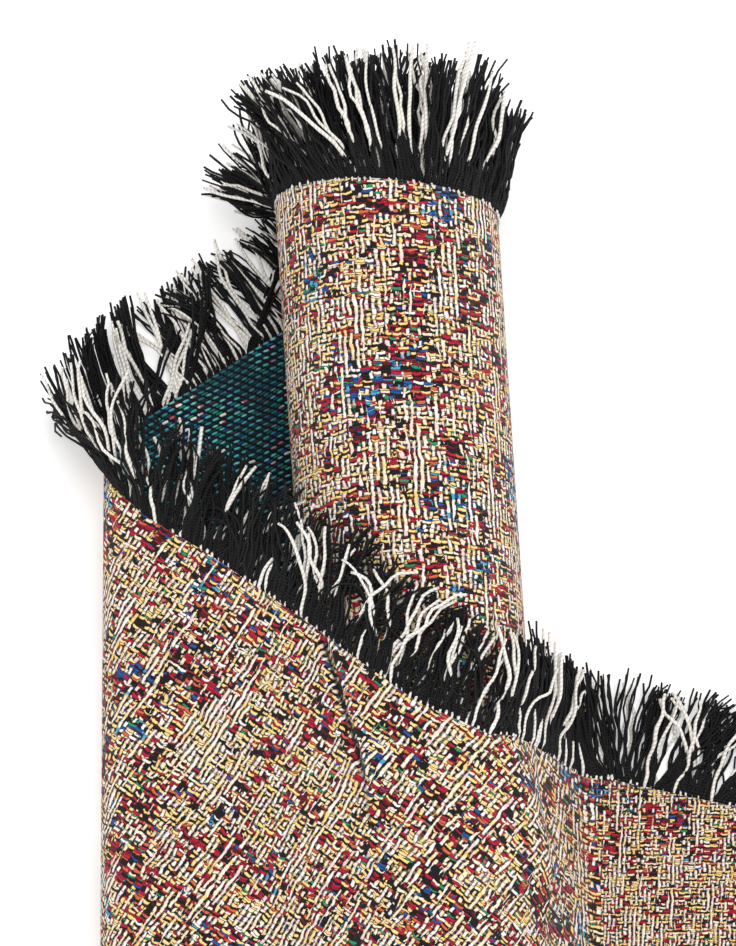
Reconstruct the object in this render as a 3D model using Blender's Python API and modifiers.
"""A fringed jacquard throw, rolled along its warp, its last stretch folded back over the roll.

Metres, +Z up, lying on the floor at z = 0. The roll's axis runs along Y. The cloth leaves the
roll at its foot, runs left on the floor with its face down, folds, and comes back to the right
over the roll with its face up. The warp ends are the fringe, at the near and far ends in Y.
"""

import math
from collections import namedtuple

import bmesh
import bpy
from mathutils import Vector

# Driving dimensions of the cloth and its roll
CLOTH_THICKNESS = 0.0024
WARP_LENGTH = 1.27
ROLL_RADIUS = 0.0513
ROLL_BODY_RADIUS = 0.0503
ROLL_TOP_Y = 0.1095
ROLL_LEAN = -0.0605
ROLL_END_SLANT = 0.068
ROLL_UNEVENNESS = 0.0006
ROLL_SIDES = 36
ROLL_CUTS = 6
DRAPE_CLEARANCE = 0.0021

# Driving dimensions of the loose stretch
FOLD_OUTER_X = -0.1357
FOLD_RADIUS = 0.0238
FOLD_STRAIGHT_TO_Y = -0.25
FALL_ANGLE = math.radians(70.0)
FOOT_RADIUS = 0.018
FLOOR_RUN = 0.20
RISE_SAG = 0.004
WRAP_ANGLE = math.radians(115.0)
WRAP_DIVE = 0.0024

# The warp-end edges, by distance along the cloth from the roll's foot: near end and far end in Y
EDGES = (
    # along, near_y, far_y
    (-0.101, 0.1040, -1.157),
    (0.000, 0.0996, -1.157),
    (0.118, 0.0240, -1.168),
    (0.156, -0.0100, -1.174),
    (0.182, -0.0340, -1.176),
    (0.215, -0.0555, -1.177),
    (0.267, -0.0930, -1.176),
    (0.325, -0.1370, -1.175),
    (0.355, -0.1500, -1.177),
    (0.392, -0.1480, -1.184),
    (0.474, -0.1460, -1.200),
    (0.516, -0.1555, -1.212),
    (0.533, -0.1590, -1.218),
    (0.680, -0.1850, -1.250),
)

# How the fringe lies, by the same distance: sideways along the cloth and out from its face,
# for each metre of its length
FRINGE_LIE = (
    # along, sideways, outwards
    (0.020, 0.54, 0.0),
    (0.115, 0.50, 0.0),
    (0.137, 0.05, 0.25),
    (0.156, -0.15, 0.55),
    (0.182, 0.15, 0.25),
    (0.215, 0.50, -0.25),
    (0.235, 0.50, -0.12),
    (0.252, 0.50, -0.01),
    (0.325, 0.35, 0.02),
    (0.392, 0.05, 0.05),
    (0.455, -0.20, 0.04),
    (0.474, -0.10, 0.0),
    (0.520, 0.05, 0.0),
    (0.680, 0.10, 0.0),
)

# Soft creases in the flap, from one end to the other in plan; depth is negative for a trough
CREASES = (
    # from_x, from_y, to_x, to_y, depth, width
    (-0.036, -0.100, -0.014, -0.190, -0.0030, 0.012),
    (-0.014, -0.190, -0.020, -0.260, -0.0020, 0.012),
    (0.034, -0.150, 0.066, -0.215, 0.0030, 0.014),
    (-0.100, -0.120, -0.060, -0.240, -0.0030, 0.016),
)

# The stretches of the cloth's section in order: round the roll's side to its foot, under to the
# left, the fold, the rise to the roll, over it, the fall, the foot of the fall, the floor
WRAP, UNDER, FOLD, RISE, OVER, FALL, FOOT, RUN = range(8)

# Steps across the cloth, a number for each stretch of its section, and down its length
STEPS_ACROSS = (11, 5, 7, 8, 8, 3, 3, 5)
ROWS_DOWN = (0.0, 0.02, 0.045, 0.075, 0.11, 0.15, 0.20, 0.30, 0.45, 0.65, 0.85, 1.0)

# Driving dimensions of the fringe, which is cut into locks
FRINGE_LENGTH = 0.045
EDGE_GAP = 0.0006
BACKING_DEPTH = 0.003
LOCK_PITCH = 0.0115
LOCK_WIDTH_SHARE = 0.66
LOCK_RINGS = ((0.40, 0.88), (0.80, 0.62))
LOCK_TIP_THICKNESS_SHARE = 0.35
STRETCH_GAP = 0.0015
END_DISC_RADIUS = 0.0485
END_DISC_SIDES = 24
END_DISC_RINGS = (0.002, 0.009, 0.004, 0.009, 0.004, 0.009)
END_FRINGE_LENGTH = 0.054
LEFT_SPREAD = 0.80
LEFT_SHORTENING = 0.50
RIGHT_SPREAD = 0.42
RIGHT_SHORTENING = 0.16
UP_SPREAD = 0.14
FAR_SPREAD = 0.02

# Stretches of the fringe's backing, one node each: where each begins and ends along the cloth
FRINGE_STRETCHES = (
    ("back_layer", 0.022, 0.150),
    ("flap_left", 0.150, 0.325),
    ("flap_right", 0.325, 0.470),
    ("floor", 0.470, 0.668),
)

# One straight or round stretch of the section: its start, its heading there, length and turn
Stretch = namedtuple("Stretch", "x z heading length turn")

# A column of the cloth: which stretch of the section it is in, how far along that stretch as a
# share, its distance along the cloth from the roll's foot, and where it begins and ends in Y
Station = namedtuple("Station", "number share along near far")


def roll_x(y):
    """X of the roll's axis at y."""
    return ROLL_LEAN * y


def fold_x(y):
    """X of the fold's outer side: straight up the visible stretch, then along with the roll."""
    return FOLD_OUTER_X + ROLL_LEAN * min(0.0, y - FOLD_STRAIGHT_TO_Y)


def section(y):
    """The cloth's mid line across the roll at y, as a list of stretches."""
    half = CLOTH_THICKNESS / 2
    inner = ROLL_RADIUS - half
    over = ROLL_BODY_RADIUS + DRAPE_CLEARANCE + half
    centre_x = roll_x(y)
    fold_centre_x = fold_x(y) + half + FOLD_RADIUS
    gap_x = centre_x - fold_centre_x
    gap_z = ROLL_RADIUS - (half + FOLD_RADIUS)
    span = math.hypot(gap_x, gap_z)
    rise = math.atan2(gap_z, gap_x) + math.asin((over - FOLD_RADIUS) / span)
    rise_length = math.sqrt(span ** 2 - (over - FOLD_RADIUS) ** 2)
    leave_z = ROLL_RADIUS + over * math.cos(FALL_ANGLE)
    foot_drop = FOOT_RADIUS * (1 - math.cos(FALL_ANGLE))
    fall_length = (leave_z - half - foot_drop) / math.sin(FALL_ANGLE)
    runs = (
        (inner * WRAP_ANGLE, -WRAP_ANGLE),
        (gap_x, 0.0),
        (FOLD_RADIUS * (math.pi - rise), rise - math.pi),
        (rise_length, 0.0),
        (over * (rise + FALL_ANGLE), -(rise + FALL_ANGLE)),
        (fall_length, 0.0),
        (FOOT_RADIUS * FALL_ANGLE, FALL_ANGLE),
        (FLOOR_RUN, 0.0),
    )
    start_angle = WRAP_ANGLE - math.pi / 2
    x = centre_x + inner * math.cos(start_angle)
    z = ROLL_RADIUS + inner * math.sin(start_angle)
    heading = math.pi + WRAP_ANGLE
    stretches = []
    for length, turn in runs:
        stretches.append(Stretch(x, z, heading, length, turn))
        x, z, heading = step_along(stretches[-1], length)
    return stretches


def step_along(stretch, distance):
    """X, z and heading at a distance along one straight or round stretch."""
    x, z, heading, length, turn = stretch
    if turn == 0.0:
        return x + distance * math.cos(heading), z + distance * math.sin(heading), heading
    radius = length / turn
    after = heading + distance / radius
    x += radius * (math.sin(after) - math.sin(heading))
    z -= radius * (math.cos(after) - math.cos(heading))
    return x, z, after


def smooth(value):
    """Ease from 0 to 1 as the value goes from 0 to 1."""
    value = min(1.0, max(0.0, value))
    return value * value * (3 - 2 * value)


def read_table(table, along, column):
    """One column of a table, read between its rows at a distance along the cloth."""
    for before, after in zip(table, table[1:]):
        if along <= after[0]:
            share = max(0.0, (along - before[0]) / (after[0] - before[0]))
            return before[column] + share * (after[column] - before[column])
    return table[-1][column]


def crease_height(x, y):
    """Height of the creases at a place in plan."""
    height = 0.0
    for from_x, from_y, to_x, to_y, depth, width in CREASES:
        run = Vector((to_x - from_x, to_y - from_y))
        reach = Vector((x - from_x, y - from_y))
        share = min(1.0, max(0.0, reach.dot(run) / run.length_squared))
        away = (reach - share * run).length / width
        height += depth * math.exp(-away * away)
    return height


def cloth_place(stretches, number, distance, y, beside=0.0):
    """A point of the cloth: a distance along one stretch, beside its mid line on the face side."""
    x, z, heading = step_along(stretches[number], distance)
    length = stretches[number].length
    share = distance / length
    offset = beside
    if number == WRAP:
        offset -= WRAP_DIVE * (1 - smooth(2 * share))
    if number == RISE:
        room_to_roll = (length - distance) ** 2 / (2 * ROLL_RADIUS)
        offset -= RISE_SAG * math.sin(math.pi * share) ** 2
        offset += max(crease_height(x, y), -room_to_roll)
    if number == OVER:
        offset += max(crease_height(x, y), 0.0)
    return Vector((x - offset * math.sin(heading), y, z + offset * math.cos(heading)))


def find_stations():
    """The columns of the cloth, each found where the section meets the near edge."""
    rows = []
    for number, steps in enumerate(STEPS_ACROSS):
        first = 0 if number == WRAP else 1
        for step in range(first, steps + 1):
            share = step / steps
            near = 0.0
            for _ in range(6):
                stretches = section(near)
                before = sum(stretch.length for stretch in stretches[:number])
                along = before + share * stretches[number].length - stretches[WRAP].length
                near = read_table(EDGES, along, 1)
            rows.append(Station(number, share, along, near, read_table(EDGES, along, 2)))
    return rows


STATIONS = find_stations()


def edge_y(along, end):
    """Y of the near or far edge, straight between the cloth's columns."""
    for before, after in zip(STATIONS, STATIONS[1:]):
        if along <= after.along:
            share = (along - before.along) / (after.along - before.along)
            return getattr(before, end) + share * (getattr(after, end) - getattr(before, end))
    return getattr(STATIONS[-1], end)


def locate(stretches, along):
    """The stretch, and the distance in it, of a place named by its distance along at the near end."""
    for before, after in zip(STATIONS, STATIONS[1:]):
        if along <= after.along:
            first_share = before.share if before.number == after.number else 0.0
            mix = (along - before.along) / (after.along - before.along)
            share = first_share + mix * (after.share - first_share)
            return after.number, share * stretches[after.number].length
    return RUN, stretches[RUN].length


def new_object(name, bm, collection, material=None):
    """An object made of a finished bmesh, with its faces pointing out."""
    bmesh.ops.recalc_face_normals(bm, faces=bm.faces)
    if bm.calc_volume(signed=True) < 0:
        bmesh.ops.reverse_faces(bm, faces=bm.faces)
    mesh = bpy.data.meshes.new(name)
    bm.to_mesh(mesh)
    bm.free()
    thing = bpy.data.objects.new(name, mesh)
    if material:
        mesh.materials.append(material)
    collection.objects.link(thing)
    return thing


def make_material(name, colour, roughness):
    """A plain yarn material."""
    material = bpy.data.materials.new(name)
    material.use_nodes = True
    shader = material.node_tree.nodes["Principled BSDF"]
    shader.inputs["Base Color"].default_value = (*colour, 1.0)
    shader.inputs["Roughness"].default_value = roughness
    shader.inputs["Metallic"].default_value = 0.0
    return material


def roll_body(collection):
    """The wound turns as one body: a long cylinder, a little uneven, its near end aslant."""
    bm = bmesh.new()
    bmesh.ops.create_cone(
        bm, cap_ends=True, segments=ROLL_SIDES, radius1=ROLL_BODY_RADIUS,
        radius2=ROLL_BODY_RADIUS, depth=WARP_LENGTH)
    long_edges = [edge for edge in bm.edges if edge.calc_length() > WARP_LENGTH / 2]
    bmesh.ops.subdivide_edges(bm, edges=long_edges, cuts=ROLL_CUTS, use_grid_fill=True)
    for vert in bm.verts:
        across, up, down = vert.co
        share = 0.5 + down / WARP_LENGTH
        y = ROLL_TOP_Y - share * WARP_LENGTH
        angle = math.atan2(up, across)
        wave = math.sin(2 * angle + 9 * share) * math.sin(math.pi * share)
        scale = 1 + ROLL_UNEVENNESS * wave / ROLL_BODY_RADIUS
        y -= ROLL_END_SLANT * across * (1 - share)
        vert.co = (roll_x(y) + across * scale, y, ROLL_RADIUS + up * scale)
    body = new_object("roll_body", bm, collection)
    body.hide_render = True
    body.display_type = "WIRE"
    return body


def throw_cloth(collection, body, material):
    """The cloth in one piece: its loose stretch as a sheet, joined to the roll that it leaves."""
    bm = bmesh.new()
    grid = []
    for share_down in ROWS_DOWN:
        row = []
        for station in STATIONS:
            y = station.near + share_down * (station.far - station.near)
            stretches = section(y)
            distance = station.share * stretches[station.number].length
            row.append(bm.verts.new(cloth_place(stretches, station.number, distance, y)))
        grid.append(row)
    for upper, lower in zip(grid, grid[1:]):
        for column in range(len(upper) - 1):
            corners = (upper[column], upper[column + 1], lower[column + 1], lower[column])
            bm.faces.new(corners)
    cloth = new_object("throw_cloth", bm, collection, material)
    shell = cloth.modifiers.new("cloth thickness", "SOLIDIFY")
    shell.thickness = CLOTH_THICKNESS
    shell.offset = 0.0
    shell.use_even_offset = True
    join = cloth.modifiers.new("joined to the roll", "BOOLEAN")
    join.operation = "UNION"
    join.solver = "EXACT"
    join.object = body
    return cloth


def grow_locks(bm, faces, length, pull):
    """Draw each face out into a lock of fringe that ends in a point, and return its rings.

    pull(corner, centre, reach, scale) gives the place of a corner at a reach from the backing.
    """
    for face in faces:
        root = [vert.co.copy() for vert in face.verts]
        centre = sum(root, Vector()) / len(root)
        current = face
        for share, scale in LOCK_RINGS:
            drawn = bmesh.ops.extrude_discrete_faces(bm, faces=[current])["faces"][0]
            for vert, corner in zip(drawn.verts, root):
                vert.co = pull(corner, centre, share * length, scale)
            current = drawn
        tip = bmesh.ops.extrude_discrete_faces(bm, faces=[current])["faces"][0]
        bmesh.ops.pointmerge(bm, verts=list(tip.verts), merge_co=pull(centre, centre, length, 0.0))


def edge_fringe(name, start, finish, end, collection, material):
    """Locks on a narrow backing along one stretch of a warp-end edge.

    The backing starts as a bar whose x is the distance along the cloth, y the reach beyond the
    edge and z the place in the cloth's thickness, and is then laid along the cloth.
    """
    outward = 1.0 if end == "near" else -1.0
    start += STRETCH_GAP / 2
    finish -= STRETCH_GAP / 2
    locks = round((finish - start) / LOCK_PITCH)
    cells = 2 * locks - 1
    pitch = (finish - start) / (locks - 1 + LOCK_WIDTH_SHARE)
    bm = bmesh.new()
    bmesh.ops.create_cube(bm, size=1.0)
    long_edges = [edge for edge in bm.edges if abs(edge.verts[0].co.x - edge.verts[1].co.x) > 0.5]
    bmesh.ops.subdivide_edges(bm, edges=long_edges, cuts=cells - 1, use_grid_fill=True)
    for vert in bm.verts:
        lock, side = divmod(round((vert.co.x + 0.5) * cells), 2)
        along = start + (lock + side * LOCK_WIDTH_SHARE) * pitch
        reach = EDGE_GAP + (vert.co.y + 0.5) * BACKING_DEPTH
        vert.co = (along, reach, vert.co.z * CLOTH_THICKNESS)
    bm.faces.ensure_lookup_table()
    outer_reach = EDGE_GAP + BACKING_DEPTH
    outer = [face for face in bm.faces if min(vert.co.y for vert in face.verts) > outer_reach - 1e-6]
    outer.sort(key=lambda face: face.calc_center_median().x)
    face_down = finish < FRINGE_STRETCHES[0][2]
    lying_z = CLOTH_THICKNESS / 2 if face_down else -CLOTH_THICKNESS / 2

    def pull(corner, centre, reach, scale):
        along = centre.x + (corner.x - centre.x) * scale
        thinned = (corner.z - lying_z) * max(scale, LOCK_TIP_THICKNESS_SHARE)
        return Vector((along, outer_reach + reach, lying_z + thinned))

    grow_locks(bm, outer[::2], FRINGE_LENGTH, pull)
    for vert in bm.verts:
        along, reach, beside = vert.co
        y = edge_y(along, end) + outward * reach
        free = max(0.0, reach - outer_reach)
        sideways = read_table(FRINGE_LIE, along, 1) if end == "near" else 0.0
        outwards = read_table(FRINGE_LIE, along, 2) if end == "near" else 0.0
        stretches = section(y)
        number, distance = locate(stretches, along + sideways * free)
        y -= outward * free * (1 - math.sqrt(1 - sideways ** 2))
        vert.co = cloth_place(stretches, number, distance, y, beside + outwards * free)
    return new_object(name, bm, collection, material)


def roll_end_fringe(name, end, collection, material):
    """Locks on a thin disc at one end of the roll, fanned out at the near end."""
    outward = 1.0 if end == "near" else -1.0
    bm = bmesh.new()
    bmesh.ops.create_cone(
        bm, cap_ends=True, segments=END_DISC_SIDES, radius1=END_DISC_RADIUS,
        radius2=END_DISC_RADIUS, depth=BACKING_DEPTH)
    cap = max(bm.faces, key=lambda face: face.calc_center_median().z)
    lock_faces = []
    for number, width in enumerate(END_DISC_RINGS):
        ring = bmesh.ops.inset_individual(bm, faces=[cap], thickness=width, use_even_offset=True)
        if number % 2 == 1:
            cells = sorted(ring["faces"], key=face_angle)
            lock_faces.extend(cells[::2])

    def pull(corner, centre, reach, scale):
        side, up, shortening = FAR_SPREAD, FAR_SPREAD, 0.0
        if end == "near":
            side, shortening = LEFT_SPREAD, LEFT_SHORTENING
            if centre.x > 0:
                side, shortening = RIGHT_SPREAD, RIGHT_SHORTENING
            up = UP_SPREAD
        share = reach / END_FRINGE_LENGTH
        place = centre + (corner - centre) * scale
        place += Vector((centre.x * side, centre.y * up, 0.0)) * share
        place.z = centre.z + reach * (1 - shortening * abs(centre.x) / END_DISC_RADIUS)
        return place

    grow_locks(bm, lock_faces, END_FRINGE_LENGTH, pull)
    for vert in bm.verts:
        across, up, reach = vert.co
        y = ROLL_TOP_Y if end == "near" else ROLL_TOP_Y - WARP_LENGTH
        y += outward * (reach + BACKING_DEPTH / 2 + EDGE_GAP)
        if end == "near":
            y -= ROLL_END_SLANT * max(-END_DISC_RADIUS, min(END_DISC_RADIUS, across))
        vert.co = (roll_x(y) + across, y, ROLL_RADIUS + up)
    return new_object(name, bm, collection, material)


def face_angle(face):
    """The direction of a face's middle from the disc's middle."""
    middle = face.calc_center_median()
    return math.atan2(middle.y, middle.x)


def shift_to_origin(things):
    """The move that brings the middle of the whole over the origin."""
    corners = []
    for thing in things:
        corners += [vert.co for vert in thing.data.vertices]
    middle_x = (min(co.x for co in corners) + max(co.x for co in corners)) / 2
    middle_y = (min(co.y for co in corners) + max(co.y for co in corners)) / 2
    return Vector((-middle_x, -middle_y, 0.0))


def main():
    """Build the throw."""
    for thing in list(bpy.data.objects):
        bpy.data.objects.remove(thing, do_unlink=True)
    parts = bpy.data.collections.new("throw blanket")
    helpers = bpy.data.collections.new("bodies joined into others")
    bpy.context.scene.collection.children.link(parts)
    bpy.context.scene.collection.children.link(helpers)
    cloth_yarn = make_material("mottled jacquard", (0.40, 0.27, 0.20), 0.9)
    fringe_yarn = make_material("black and cream yarn", (0.10, 0.09, 0.08), 0.9)
    body = roll_body(helpers)
    cloth = throw_cloth(parts, body, cloth_yarn)
    fringes = []
    for end in ("near", "far"):
        fringes.append(roll_end_fringe(f"fringe_{end}_roll", end, parts, fringe_yarn))
        for stretch, start, finish in FRINGE_STRETCHES:
            name = f"fringe_{end}_{stretch}"
            fringes.append(edge_fringe(name, start, finish, end, parts, fringe_yarn))
    shift = shift_to_origin([cloth, *fringes])
    for thing in [cloth, body, *fringes]:
        thing.location = shift


main()
